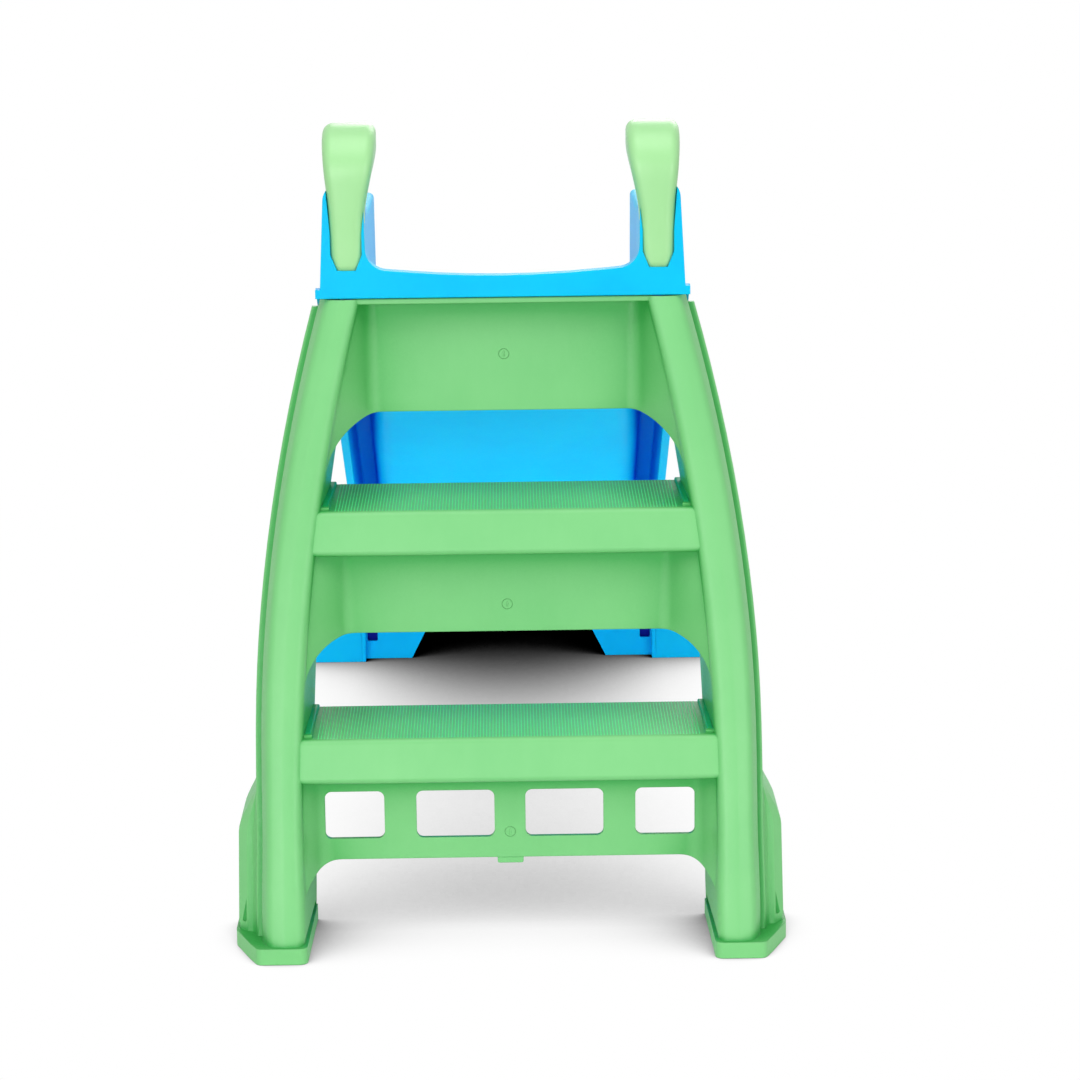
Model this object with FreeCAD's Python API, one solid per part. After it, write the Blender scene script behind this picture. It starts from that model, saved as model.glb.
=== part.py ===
import FreeCAD, Part
import math
import os

V = FreeCAD.Vector

# Folding toddler slide. Millimetres, +Z up, +Y from the ladder to the low end of the chute,
# origin under the middle of the whole at floor level.

length = 990.0
width = 457.0
height = 584.0
bandOut = 1.6
ladderFront = -length / 2 + bandOut
wall = 3.5
fit = 0.3
runFit = 0.08

# ladder
ladderTop = 458.0
railLean = 150.0
railLeanPower = 1.2
railInnerFoot = 148.3
railInnerDraw = 44.5
railOuterFoot = 179.8
railOuterDraw = 45.3
railDepthFoot = 92.0
railDepthTop = 60.0
railCrown = 1.4
panelStep = 4.8
panelFront = 24.0
panelTop = 450.0
flareReach = 199.0
flareShoulder = 80.0
flareTop = 118.0
bandHeight = 12.0
grooveHeight = 4.0
treadTops = (154.5, 311.0)
treadDepths = (90.0, 98.0)
noseDrop = 31.5
riserPlanes = (50.0, 106.0, 170.0)
riserFlats = (136.5, 117.0, 98.0)
riserSpans = ((26.0, 126.0), (179.0, 283.0), (329.0, 456.0))
riserEdges = (61.5, 217.5, 370.5)
archRadii = (27.0, 31.0, 40.0)
webBlend = 14.0
lipHigh = 2.0
lipWide = 5.0
windowLow = 77.4
windowHigh = 113.2
windowSpans = ((11.3, 68.1), (91.4, 134.6))
tabHalf = 9.5
tabDrop = 4.5

# chute
rimFace = 150.0
rimBase = 459.0
bedCrest = 471.5
bedFall = 0.60
bedHalfTop = 100.0
bedHalfEnd = 116.0
bedDish = 9.0
earTop = 541.0
earFront = 512.0
earEnd = 343.0
earCap = 10.0
wallRise = 62.0
toeRise = 22.0
sideHalfTop = 134.2
sideHalfEnd = 142.0
sideLean = 4.4
shellWall = 3.0
bedBlend = 16.0
beadReach = 3.2
beadHeight = 6.5
footBack = 793.0
padBack = 805.0
padInner = 94.0
padSlant = 0.5
footSideTop = 112.0
toeFace = length - bandOut

# handrail
gripThick = 25.0
gripCorner = 7.5
gripFoot = 163.0
gripLean = 0.062
gripBend = 22.0
crownSlope = 0.25
crownEnd = 262.0
pivotY = 318.0
pivotZ = 497.0
eyeRadius = 12.0
pinRadius = 5.0
headRadius = 9.0
headThick = 3.0
socketFloor = 480.0
socketBack = 176.6
socketFlare = 507.0
rearSocketFloor = 484.5
socketGap = 0.5
legInner = 103.1
legOuter = 125.1
legNarrow = 4.7
legShoulder = 491.0
eyeInner = 107.0
eyeOuter = 122.0
crownInner = 91.6
crownOuter = 130.4
gripPinSeat = 132.9
gripPinTip = 104.4

# ladder hinge
hingeY = 185.0
hingeZ = 420.0
lugInner = 119.6
lugOuter = 129.0
lugRadius = 13.0
bossInner = 111.0
bossOuter = 144.5
swingRadius = 23.0
seatGap = 0.04


def along(distance):
    """Distance behind the front of the ladder's feet, as a Y coordinate."""
    return ladderFront + distance


def roundedWire(points, radii):
    edges = []
    count = len(points)
    ends = []
    for i in range(count):
        here = points[i]
        before = points[i - 1]
        after = points[(i + 1) % count]
        radius = radii[i]
        if radius <= 0:
            ends.append((here, here, here))
            continue
        a = (before - here).normalize()
        b = (after - here).normalize()
        angle = a.getAngle(b)
        reach = radius / math.tan(angle / 2)
        start = here + a * reach
        finish = here + b * reach
        middle = (a + b).normalize()
        centre = here + middle * (radius / math.sin(angle / 2))
        top = centre - middle * radius
        ends.append((start, top, finish))
    for i in range(count):
        start, top, finish = ends[i]
        if (finish - start).Length > 1e-6:
            edges.append(Part.Arc(start, top, finish).toShape())
        following = ends[(i + 1) % count][0]
        if (following - finish).Length > 1e-6:
            edges.append(Part.makeLine(finish, following))
    return Part.Wire(edges)


def prismX(points, radii, x0, x1):
    wire = roundedWire([V(x0, y, z) for y, z in points], radii)
    return Part.Face(wire).extrude(V(x1 - x0, 0, 0))


def prismY(points, radii, y0, y1):
    wire = roundedWire([V(x, y0, z) for x, z in points], radii)
    return Part.Face(wire).extrude(V(0, y1 - y0, 0))


def rodX(radius, x0, x1, y, z):
    return Part.makeCylinder(radius, x1 - x0, V(x0, y, z), V(1, 0, 0))


def mirrored(shape):
    return shape.mirror(V(0, 0, 0), V(1, 0, 0))


def fused(shapes):
    result = shapes[0]
    if len(shapes) > 1:
        result = result.fuse(shapes[1:])
    return result.removeSplitter()


# Rail curves: X of the inner and outer faces and Y of the front, at a height.
def railInner(z):
    return railInnerFoot - railInnerDraw * (max(z - 100, 0) / (ladderTop - 100)) ** 2.14


def railOuter(z):
    return railOuterFoot - railOuterDraw * (max(z - 150, 0) / (ladderTop - 150)) ** 1.92


def railFront(z):
    return railLean * (max(z, 0) / ladderTop) ** railLeanPower


def railDepth(z):
    share = max(z, 0) / ladderTop
    return railDepthFoot + 8 * math.sin(math.pi * share) - (railDepthFoot - railDepthTop) * share ** 2


def railSection(z, inset):
    """Plan outline of one rail; inset 0 is the outside, a wall thickness is the core."""
    front = along(railFront(z)) + inset
    back = along(railFront(z) + railDepth(z)) + (inset > 0) * 12
    inner = railInner(z) + inset
    outer = railOuter(z) - inset
    points = [
        V(inner + 1.5, front, z),
        V((inner + outer) / 2, front - railCrown, z),
        V(outer - 5.0, front + 1.5, z),
        V(outer, front + 14, z),
        V(outer, back, z),
        V(inner - 2.0, back, z),
    ]
    return roundedWire(points, [8.5 - inset, 10.0, 9.0 - inset, 14.0, 0, 0])


def panelSection(z, inset):
    """Plan outline of the side panel that stands out behind the front of the rail."""
    front = along(railFront(z) + panelFront) + inset
    back = along(railFront(z) + railDepth(z)) + (inset > 0) * 14 - (inset <= 0) * 0.3
    root = railOuter(z) - wall - 2.5 + (inset > 0) * 0.8
    reach = railOuter(z) + panelStep - inset
    points = [V(root, front, z), V(reach, front, z), V(reach, back, z), V(root, back, z)]
    return roundedWire(points, [0, 2.0 - inset * 0.4, 0, 0])


def flareShare(z):
    """How far the lower side panel has swung out: none at its top, all of it below the shoulder."""
    share = min(1.0, max(0.0, (flareTop - z) / (flareTop - flareShoulder)))
    return share * share * (3 - 2 * share)


def flareSection(z, inset):
    """Plan outline of the flared foot: a slanted strip, a rounded rib and the outermost strip."""
    share = 0.05 + 0.95 * flareShare(z)
    front = along(railFront(z)) + inset
    back = along(railFront(z) + railDepth(z)) + (inset > 0) * 17 - (inset <= 0) * 0.6
    root = railOuter(z) - wall - 3 + (inset > 0) * 1.4
    panel = railOuter(z) + panelStep - 0.4 - inset
    reach = flareReach + 1.2 * (1 - z / flareTop) - railOuter(z) - panelStep
    points = [
        V(root, front + 25, z),
        V(panel, front + 26, z),
        V(panel + reach * 0.27 * share, front + 33, z),
        V(panel + reach * 0.55 * share, front + 34, z),
        V(panel + reach * share, front + 42, z),
        V(panel + reach * share, back, z),
        V(root, back, z),
    ]
    return roundedWire(points, [0, 0, 1.5 * share, 3.0 * share, 3.5 * share, 0, 0])


flareLevels = [0, flareShoulder, 84, 88, 92, 96, 100, 104, 108, 113, flareTop]
panelLevels = [0, 75, 140, 200, 260, 310, 350, 390, 422, panelTop]
railLevels = [0, 75, 140, 200, 260, 310, 350, 390, 425, ladderTop]


def railBody():
    return Part.makeLoft([railSection(z, 0) for z in railLevels], True, False)


def railCore():
    levels = [-2] + railLevels[1:-1] + [ladderTop + 2]
    return Part.makeLoft([railSection(z, wall) for z in levels], True, False)


def panelBody():
    return Part.makeLoft([panelSection(z, 0) for z in panelLevels], True, False)


def panelCore():
    levels = [-2] + panelLevels[1:-1] + [panelTop - wall]
    return Part.makeLoft([panelSection(z, wall) for z in levels], True, False)


def flareHull():
    return Part.makeLoft([flareSection(z, 0) for z in flareLevels], True, True)


def flareCore():
    levels = [-2] + flareLevels[1:-1]
    return Part.makeLoft([flareSection(z, wall) for z in levels], True, True)


def footPlan(grow, z, tall):
    """Slab in the outline of the foot, grown or shrunk, from a height upwards."""
    outer = flareReach + 0.6 + grow
    points = [
        V(railInner(0) + 0.3 - grow, along(-grow), z),
        V(railOuter(0) + 1.5 + grow, along(-grow), z),
        V(outer - 12, along(12 - grow * 0.3), z),
        V(outer, along(41 - grow * 0.3), z),
        V(outer, along(railDepth(0)), z),
        V(railInner(0) - 2 - grow, along(railDepth(0)), z),
    ]
    return Part.Face(roundedWire(points, [6, 6, 10, 10, 0, 0])).extrude(V(0, 0, tall))


def footBand():
    return footPlan(bandOut, 0, bandHeight)


def footGroove():
    return footPlan(6, bandHeight, grooveHeight).cut(footPlan(-0.9, bandHeight - 1, grooveHeight + 2))


def treadHull(index):
    top = treadTops[index]
    low = top - noseDrop
    front = along(railFront(top) + 2.5)
    frontLow = along(railFront(low) + 2.5)
    back = along(railFront(top) + treadDepths[index])
    recess = along(riserPlanes[index] + wall)
    half = railInner(low) + 12
    points = [(front, top), (frontLow, low), (recess, low), (back, top - 14), (back, top)]
    return prismX(points, [5, 4, 0, 0, 2.5], -half, half)


def treadCore(index):
    top = treadTops[index]
    low = top - noseDrop
    front = along(railFront(top) + 2.5) + wall
    frontLow = along(railFront(low) + 2.5) + wall
    back = along(railFront(top) + treadDepths[index]) - wall
    recess = along(riserPlanes[index] + wall)
    half = railInner(top) - 0.5
    points = [(front, top - wall), (frontLow, low + wall), (recess, low + wall), (recess, low - 25),
              (back, low - 25), (back, top - wall)]
    return prismX(points, [2, 1.5, 0, 0, 0, 1], -half, half)


def treadLips(index):
    """Low kerb at each end of the tread, against the rail."""
    top = treadTops[index]
    front = along(railFront(top) + 9)
    back = along(railFront(top) + treadDepths[index] - 3)
    half = railInner(top)
    lips = []
    for side in (1, -1):
        x0, x1 = sorted((side * (half - lipWide), side * (half + 1.5)))
        points = [(front, top - 1), (front, top + lipHigh), (back, top + lipHigh), (back, top - 1)]
        lips.append(prismX(points, [0, 1.2, 1.2, 0], x0, x1))
    return lips


def sideRecess():
    """Upright groove with a pointed top in the outermost strip of the flared foot."""
    x0 = flareReach - 5.6
    x1 = flareReach - 2.2
    points = [(x0, 18), (x1, 18), (x1, 84), (x0, 92)]
    return prismY(points, [1.5, 1.5, 1, 1], along(20), along(43))


def treadRibs(index):
    """Front-to-back ribs under the tread."""
    top = treadTops[index]
    low = top - noseDrop
    start = along(riserPlanes[index] + wall)
    back = along(railFront(top) + treadDepths[index]) - 1
    ribs = []
    for x in (-90, -45, 0, 45, 90):
        points = [(start - 1, top - 1.5), (start - 1, low - 6), (back, top - 13), (back, top - 1.5)]
        ribs.append(prismX(points, [0, 0, 0, 0], x - 1.2, x + 1.2))
    return ribs


def riserSection(z, index):
    """Plan outline of a riser: a flat back panel with slanted webs that run forward to the rails."""
    start = along(railFront(z) + 9)
    deep = along(riserPlanes[index])
    flat = riserFlats[index]
    root = railInner(z) + 1.8
    points = [
        V(-root, start, z), V(-flat, deep, z), V(flat, deep, z), V(root, start, z),
        V(root + 1.2, start + wall, z), V(flat + 1.2, deep + wall, z),
        V(-flat - 1.2, deep + wall, z), V(-root - 1.2, start + wall, z),
    ]
    blend = min(webBlend, 1.1 * (root - flat))
    return roundedWire(points, [0, blend, blend, 0, 0, blend + wall, blend + wall, 0])


def riser(index):
    low, high = riserSpans[index]
    levels = [low + (high - low) * k / 5 for k in range(6)]
    sheet = Part.makeLoft([riserSection(z, index) for z in levels], True, False)
    edge = riserEdges[index]
    wide = railInner(low) + 1
    corner = railInner(edge) + 3
    points = [(-wide, low - 5), (-corner, edge), (corner, edge), (wide, low - 5)]
    radius = archRadii[index]
    opening = prismY(points, [0, radius, radius, 0], along(-20), along(300))
    return sheet.cut(opening)


def topTrim():
    """What the top of the ladder gives up so that it swings clear of the chute's lower edge."""
    y = along(hingeY)
    slope = [
        (along(166), ladderTop), (y, hingeZ + swingRadius), (y, hingeZ),
        (along(260), hingeZ), (along(260), ladderTop + 30), (along(166), ladderTop + 30),
    ]
    block = prismX(slope, [0] * 6, -200, 200)
    return block.cut(rodX(swingRadius, -210, 210, y, hingeZ))


def hingeCuts(side):
    """Lug slot, pin hole and the sinkings for the pin's head and ring, on one side of the ladder."""
    y = along(hingeY)
    slot0, slot1 = sorted((side * (lugInner - 0.4), side * (lugOuter + 0.4)))
    hole0, hole1 = sorted((side * (bossInner - 3), side * (bossOuter + 8)))
    head0, head1 = sorted((side * bossOuter, side * (bossOuter + 12)))
    ring0, ring1 = sorted((side * (bossInner - 12), side * bossInner))
    return [
        rodX(lugRadius + 1.5, slot0, slot1, y, hingeZ),
        rodX(pinRadius + runFit, hole0, hole1, y, hingeZ),
        rodX(headRadius + 0.6, head0, head1, y, hingeZ),
        rodX(headRadius + 0.6, ring0, ring1, y, hingeZ),
    ]


def ladder():
    half = []
    half += [railBody(), panelBody(), flareHull(), footBand()]
    half.append(rodX(lugRadius - 2, bossInner, bossOuter, along(hingeY), hingeZ))
    solids = half + [mirrored(solid) for solid in half]
    solids += [treadHull(0), treadHull(1), riser(0), riser(1), riser(2)]
    ledgeFront = along(railFront(ladderTop) + 2.0)
    ledgeBack = along(riserPlanes[2] + wall)
    reach = railInner(ladderTop) + 4
    ledge = [(ledgeFront, ladderTop - 4), (ledgeFront, ladderTop), (ledgeBack, ladderTop), (ledgeBack, ladderTop - 4)]
    solids.append(prismX(ledge, [1, 1, 0, 0], -reach, reach))
    body = fused(solids)
    cores = [railCore(), panelCore(), flareCore()]
    cores += [mirrored(core) for core in cores]
    body = body.cut(cores)
    body = body.cut([treadCore(0), treadCore(1)])
    boss = rodX(lugRadius - 2, bossInner, bossOuter, along(hingeY), hingeZ)
    body = fused([body, boss, mirrored(boss)] + treadRibs(0) + treadRibs(1) + treadLips(0) + treadLips(1))
    cuts = hingeCuts(1) + hingeCuts(-1)
    for x0, x1 in windowSpans:
        for side in (1, -1):
            a, b = sorted((side * x0, side * x1))
            points = [(a, windowLow), (b, windowLow), (b, windowHigh), (a, windowHigh)]
            cuts.append(prismY(points, [5] * 4, along(0), along(90)))
    groove = footGroove()
    recess = sideRecess()
    cuts += [groove, mirrored(groove), recess, mirrored(recess)]
    cuts.append(topTrim())
    body = body.cut(cuts)
    tabLow = riserEdges[0] - tabDrop
    tabHigh = riserEdges[0] + 2
    tab = [(-tabHalf, tabLow), (tabHalf, tabLow), (tabHalf, tabHigh), (-tabHalf, tabHigh)]
    tab = prismY(tab, [1.5, 1.5, 0, 0], along(riserPlanes[0]) + 0.3, along(riserPlanes[0]) + wall)
    return fused([body, tab])


# Chute curves along the run.
def bedHeight(d):
    """Top of the bed on the centre line: a short level crest, a straight fall and a run-out."""
    if d <= 160:
        return bedCrest
    fallStart = 172.0
    runOut = 830.0
    runOutEnd = 950.0
    level = 34.0
    straight = bedCrest - 3.5 - bedFall * (d - fallStart)
    if d < fallStart:
        return bedCrest - 3.5 * ((d - 160) / 12.0) ** 2
    bottom = bedCrest - 3.5 - bedFall * (runOut - fallStart)
    if d < runOut:
        return straight
    share = min(1.0, (d - runOut) / (runOutEnd - runOut))
    drop = bedFall * (runOutEnd - runOut) * (share - share * share / 2)
    return max(level, bottom - drop)


def ease(d, start, finish):
    """Share from 0 to 1 between two stations with soft ends."""
    share = min(1.0, max(0.0, (d - start) / (finish - start)))
    return share * share * (3 - 2 * share)


def linear(d, start, finish):
    return min(1.0, max(0.0, (d - start) / (finish - start)))


def sideTop(d):
    """Top of the side wall: a raised ear by the handrail, then a low wall that ends at the toe."""
    ear = earTop - (earTop - earFront) * ease(d, 158, 225)
    if d <= earEnd:
        return ear
    rise = earFront - bedHeight(earEnd)
    rise -= (rise - wallRise) * ease(d, earEnd, 560)
    return bedHeight(d) + rise - (wallRise - toeRise) * ease(d, 800, toeFace)


def bedCorner(d):
    return min(bedBlend, 0.5 * (sideTop(d) - bedHeight(d)))


def skirtBase(d):
    if d >= footBack:
        return 0.0
    return bedHeight(d) - (bedCrest - rimBase)


def bedHalf(d):
    return bedHalfTop + 9.0 * linear(d, earEnd, 520) + (bedHalfEnd - bedHalfTop - 9.0) * linear(d, 520, toeFace)


def sideHalf(d):
    return sideHalfTop + (sideHalfEnd - sideHalfTop) * linear(d, rimFace, footBack)


def chuteSection(d, inset):
    y = along(d)
    bed = bedHeight(d) - inset * 1.15
    top = sideTop(d) - inset
    base = skirtBase(d) - (inset > 0) * 15
    inner = bedHalf(d) + inset
    outer = sideHalf(d) - inset
    innerTop = inner + 1.0 + 4.0 * ease(d, earEnd, 450)
    outerTop = outer - sideLean
    side = bed + bedDish
    points = [
        V(-outer, y, base), V(-outerTop, y, top), V(-innerTop, y, top), V(-inner, y, side),
        V(0, y, bed), V(inner, y, side), V(innerTop, y, top), V(outerTop, y, top), V(outer, y, base),
    ]
    blend = bedCorner(d) + inset
    cap = 4.0 - inset * 0.5
    shoulder = cap + (earCap - 4.0) * (1 - ease(d, earEnd, 450))
    radii = [0, shoulder, cap, blend, 800, blend, cap, shoulder, 0]
    return roundedWire(points, radii)


chuteStations = [rimFace, 160, 166, 172, 180, 192, 205, 220, 250, 280, 310, earEnd]
chuteStations += [365, 390, 420, 450, 480, 520, 560, 640, 720, 790, footBack, 830]
chuteStations += list(range(850, 971, 20)) + [toeFace]


def chuteBody():
    return Part.makeLoft([chuteSection(d, 0) for d in chuteStations], True, True)


def chuteCore():
    stations = [d for d in chuteStations if rimFace + shellWall < d < toeFace - shellWall]
    stations = [rimFace + shellWall] + stations + [toeFace - shellWall]
    return Part.makeLoft([chuteSection(d, shellWall) for d in stations], True, True)


def sideBead(side):
    """Thickened lower edge of the side wall; below the ear it stands out as a bead."""
    sections = []
    for d in [d for d in chuteStations if d <= 790]:
        base = skirtBase(d)
        y = along(d)
        root = sideHalf(d) - beadHeight
        edge = sideHalf(d) + beadReach - (beadReach + 0.6) * ease(d, earEnd, 390)
        points = [V(side * root, y, base), V(side * edge, y, base),
                  V(side * edge, y, base + beadHeight), V(side * root, y, base + beadHeight)]
        sections.append(Part.makePolygon(points + [points[0]]))
    return Part.makeLoft(sections, True, True)


def footHull(side, inset):
    """Flared foot beside the run-out: the core is the same shape one wall smaller."""
    half = width / 2 - inset
    low = -15.0 if inset > 0 else 0.0
    sections = []
    for d, grow in ((footBack + inset, 0.0), (860, 0.0), (930, -6.0), (toeFace - 6 - inset, -16.0)):
        y = along(d)
        topZ = footSideTop - 50.0 * (d - footBack) / (toeFace - footBack) - inset
        root = sideHalf(d) - 1.5 + (inset > 0) * 3.0
        points = [V(side * root, y, low), V(side * (half + grow), y, low), V(side * (half + grow), y, 14),
                  V(side * (sideHalf(d) + 16 + grow * 0.5), y, topZ * 0.8), V(side * root, y, topZ)]
        sections.append(roundedWire(points, [0, 0, 8, 22, 0]))
    return Part.makeLoft(sections, True, True)


def padHull(side, inset):
    """Foot pad below the side of the bed, with its slanted inner flank, trimmed inside the bed's thickness."""
    back = along(padBack) + inset
    front = along(toeFace) - inset
    low = -15.0 if inset > 0 else 0.0
    high = 95.0
    inner = padInner + inset
    edge = bedHalf(padBack) + 1.5 - (inset > 0) * 3.4
    points = [
        (side * (inner - padSlant * low), low), (side * (inner - padSlant * high), high),
        (side * edge, high), (side * edge, low),
    ]
    block = prismY(points, [0, 0, 0, 0], back, front)
    sink = 4.4 if inset > 0 else 1.5
    space = Part.makeLoft([bedSpace(d, sink) for d in chuteStations if d >= 790], True, True)
    return block.cut(space)


def sideStop(side):
    """Plate that closes the hollow side wall behind the pad, with a small square window."""
    x0 = bedHalf(padBack) - 0.6
    x1 = sideHalf(padBack) - 1.5
    high = sideTop(padBack) - 8
    points = [(side * x0, 0), (side * x1, 0), (side * (x1 - 2.5), high), (side * (x0 + 6), high)]
    plate = prismY(points, [0, 0, 0, 0], along(padBack), along(padBack) + shellWall)
    window = [(side * 127, 17.5), (side * 137, 17.5), (side * 137, 45), (side * 127, 45)]
    return plate.cut(prismY(window, [1.5] * 4, along(padBack) - 2, along(padBack) + 8))


def legOutline(side, grow):
    """Front outline of the handrail's tapered leg in its socket; it flares towards the top of the ear."""
    inner = legInner - grow
    outer = legOuter + grow
    return [
        (side * (inner - 3.4), 600), (side * (inner - 3.4), socketFlare + 28), (side * inner, socketFlare),
        (side * inner, legShoulder), (side * (inner + legNarrow), socketFloor - grow),
        (side * (outer - legNarrow), socketFloor - grow), (side * outer, legShoulder),
        (side * outer, socketFlare), (side * (outer + 2.6), socketFlare + 34), (side * (outer + 2.6), 600),
    ]


def frontSocket(side, grow):
    """Socket for the leg, open to the front; its back wall leans with the leg."""
    block = prismY(legOutline(side, grow), [0] * 10, along(130), along(200))
    low = socketFloor - 20
    high = 600.0
    foot = along(socketBack + grow + 20 * gripLean)
    head = along(socketBack + grow - (high - socketFloor) * gripLean)
    lean = [(along(131), low), (foot, low), (head, high), (along(131), high)]
    return block.common(prismX(lean, [0] * 4, -200, 200))


def rearSocket(side, grow):
    """Socket for the eye at the low end of the handrail."""
    x0, x1 = sorted((side * (eyeInner - grow), side * (eyeOuter + grow)))
    low = rearSocketFloor - grow + socketGap
    front = along(pivotY - 33.5 - grow)
    back = along(pivotY + eyeRadius + 1 + grow)
    points = [(front, 560), (front, 509), (along(pivotY - 13 - grow), low), (back, low), (back, 560)]
    return prismX(points, [0] * 5, x0, x1)


def hingeLug(side):
    """Lug that hangs from the ear into the head of the ladder's rail."""
    y = along(hingeY)
    x0, x1 = sorted((side * lugInner, side * lugOuter))
    disc = rodX(lugRadius, x0, x1, y, hingeZ)
    top = socketFloor + 14
    points = [(y - lugRadius, hingeZ), (y + lugRadius, hingeZ), (y + 24, top), (y - 26, top), (y - 19, hingeZ + 26)]
    web = prismX(points, [0, 0, 0, 0, 0], x0, x1)
    return disc.fuse(web)


def slide():
    hull = chuteBody()
    core = chuteCore()
    walls = socketGap + shellWall
    core = core.cut([frontSocket(1, walls), frontSocket(-1, walls), rearSocket(1, walls), rearSocket(-1, walls)])
    shell = hull.cut(core)
    parts = [shell, sideBead(1), sideBead(-1)]
    for side in (1, -1):
        foot = footHull(side, 0)
        pad = padHull(side, 0)
        parts += [foot, pad, sideStop(side)]
    body = fused(parts)
    hollows = []
    for side in (1, -1):
        hollows.append(footHull(side, shellWall))
        hollows.append(padHull(side, shellWall))
    body = body.cut(hollows)
    lugs = [hingeLug(1), hingeLug(-1)]
    body = fused([body] + lugs)
    cuts = []
    for side in (1, -1):
        cuts += [frontSocket(side, socketGap), rearSocket(side, socketGap)]
        x0, x1 = sorted((side * 100, side * 150))
        cuts.append(rodX(pinRadius + runFit, x0, x1, along(hingeY), hingeZ))
        x0, x1 = sorted((side * gripPinTip, side * 150))
        cuts.append(rodX(pinRadius + seatGap, x0, x1, along(pivotY), pivotZ))
    return body.cut(cuts)


def bedSpace(d, sink):
    """Space above the bed between the side walls, sunk below the surface of the bed."""
    y = along(d)
    bed = bedHeight(d) - sink
    inner = bedHalf(d) + sink
    side = bed + bedDish
    points = [
        V(-inner - 9, y, bed + 120), V(-inner, y, side), V(0, y, bed),
        V(inner, y, side), V(inner + 9, y, bed + 120),
    ]
    return roundedWire(points, [0, bedCorner(d) + sink, 800, bedCorner(d) + sink, 0])


def gripSpine():
    """Centre line of the handrail: a leaning leg, a tight bend, a falling crown and a bend down to the eye."""
    centreZ = height - gripThick / 2 - gripBend
    centreD = gripFoot - gripLean * (centreZ - socketFloor) + gripBend * math.hypot(1, gripLean)
    over = centreZ + gripBend * math.hypot(1, crownSlope) - crownSlope * (gripFoot - centreD)
    cornerZ = (over - crownSlope * gripLean * socketFloor) / (1 - crownSlope * gripLean)
    cornerD = gripFoot - gripLean * (cornerZ - socketFloor)
    corners = [
        V(0, along(gripFoot), socketFloor), V(0, along(cornerD), cornerZ),
        V(0, along(crownEnd), cornerZ - crownSlope * (crownEnd - cornerD)), V(0, along(pivotY - 2), pivotZ + 4),
    ]
    closed = roundedWire(corners, [0, gripBend, 62, 0])
    edges = [e for e in closed.Edges if e.BoundBox.YLength < 150]
    return Part.Wire(Part.__sortEdges__(edges))


def gripSection(spine, share, side):
    edges = spine.OrderedEdges
    reach = share * sum(e.Length for e in edges)
    for edge in edges:
        if reach <= edge.Length or edge.isSame(edges[-1]):
            break
        reach -= edge.Length
    at = edge.getParameterByLength(min(reach, edge.Length))
    if edge.Orientation == "Reversed":
        at = edge.getParameterByLength(edge.Length - min(reach, edge.Length))
    centre = edge.valueAt(at)
    tangent = edge.tangentAt(at)
    normal = V(0, -tangent.z, tangent.y)
    swell = ease(share, 0.11, 0.39) * (1 - ease(share, 0.55, 0.84))
    inner = legInner + (eyeInner - legInner) * ease(share, 0.3, 0.8)
    outer = legOuter + (eyeOuter - legOuter) * ease(share, 0.3, 0.8)
    inner -= (inner - crownInner) * swell
    outer += (crownOuter - outer) * swell
    a = centre + normal * (gripThick / 2)
    b = centre - normal * (gripThick / 2)
    left = V(side * inner, 0, 0)
    right = V(side * outer, 0, 0)
    return roundedWire([a + left, a + right, b + right, b + left], [gripCorner] * 4)


def legFoot(side):
    """Tapered lower end of the leg, which drops into the front socket."""
    sections = []
    half = gripThick / 2 - 0.1
    for z, narrow, corner in ((socketFloor, legNarrow, 4.0), (legShoulder + 0.5, 0.1, gripCorner)):
        front = along(gripFoot - gripLean * (z - socketFloor) - half)
        back = front + 2 * half
        inner = side * (legInner + narrow)
        outer = side * (legOuter - narrow)
        points = [V(inner, front, z), V(outer, front, z), V(outer, back, z), V(inner, back, z)]
        sections.append(roundedWire(points, [corner] * 4))
    return Part.makeLoft(sections, True, True)


def handrail(side):
    spine = gripSpine()
    bar = Part.makeLoft([gripSection(spine, k / 20, side) for k in range(21)], True, False)
    bar = bar.cut(Part.makeBox(80, 70, 40, V(side * 114 - 40, along(130), legShoulder - 40)))
    x0, x1 = sorted((side * eyeInner, side * eyeOuter))
    eye = rodX(eyeRadius, x0, x1, along(pivotY), pivotZ)
    body = fused([bar, legFoot(side), eye])
    return body.cut(rodX(pinRadius + runFit, x0 - 1, x1 + 1, along(pivotY), pivotZ))


def headedPin(side, seat, tip, y, z):
    """Pin with its head outside the seat and its tip towards the middle."""
    x0, x1 = sorted((side * tip, side * (seat + headThick * 0.5)))
    shank = rodX(pinRadius, x0, x1, y, z)
    h0, h1 = sorted((side * seat, side * (seat + headThick)))
    head = rodX(headRadius, h0, h1, y, z)
    outer = [e for e in head.Edges if abs(abs(e.BoundBox.XMin) - (seat + headThick)) < 0.01 and e.BoundBox.XLength < 0.01]
    head = head.makeFillet(headThick * 0.6, outer)
    return fused([shank, head])


def pinRing(side, seat, y, z):
    """Push-on ring that holds the tip of the ladder pin."""
    x0, x1 = sorted((side * seat, side * (seat - headThick)))
    ring = rodX(headRadius - 0.5, x0, x1, y, z)
    return ring.cut(rodX(pinRadius + seatGap, x0 - 1, x1 + 1, y, z))


nodes = {}
nodes["slide"] = slide()
nodes["ladder"] = ladder()
for name, side in (("left", -1), ("right", 1)):
    nodes[name + "_handrail"] = handrail(side)
    nodes[name + "_ladder_pin"] = headedPin(side, bossOuter, bossInner - headThick - 1, along(hingeY), hingeZ)
    nodes[name + "_ladder_pin_ring"] = pinRing(side, bossInner, along(hingeY), hingeZ)
    nodes[name + "_handrail_pin"] = headedPin(side, gripPinSeat, gripPinTip, along(pivotY), pivotZ)

os.makedirs("parts", exist_ok=True)
for name, shape in nodes.items():
    box = shape.BoundBox
    print(name, shape.ShapeType, len(shape.Solids), shape.isValid(), round(shape.Volume / 1000, 1),
          [round(v, 1) for v in (box.XMin, box.XMax, box.YMin, box.YMax, box.ZMin, box.ZMax)])
    shape.exportStep("parts/" + name + ".step")
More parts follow.
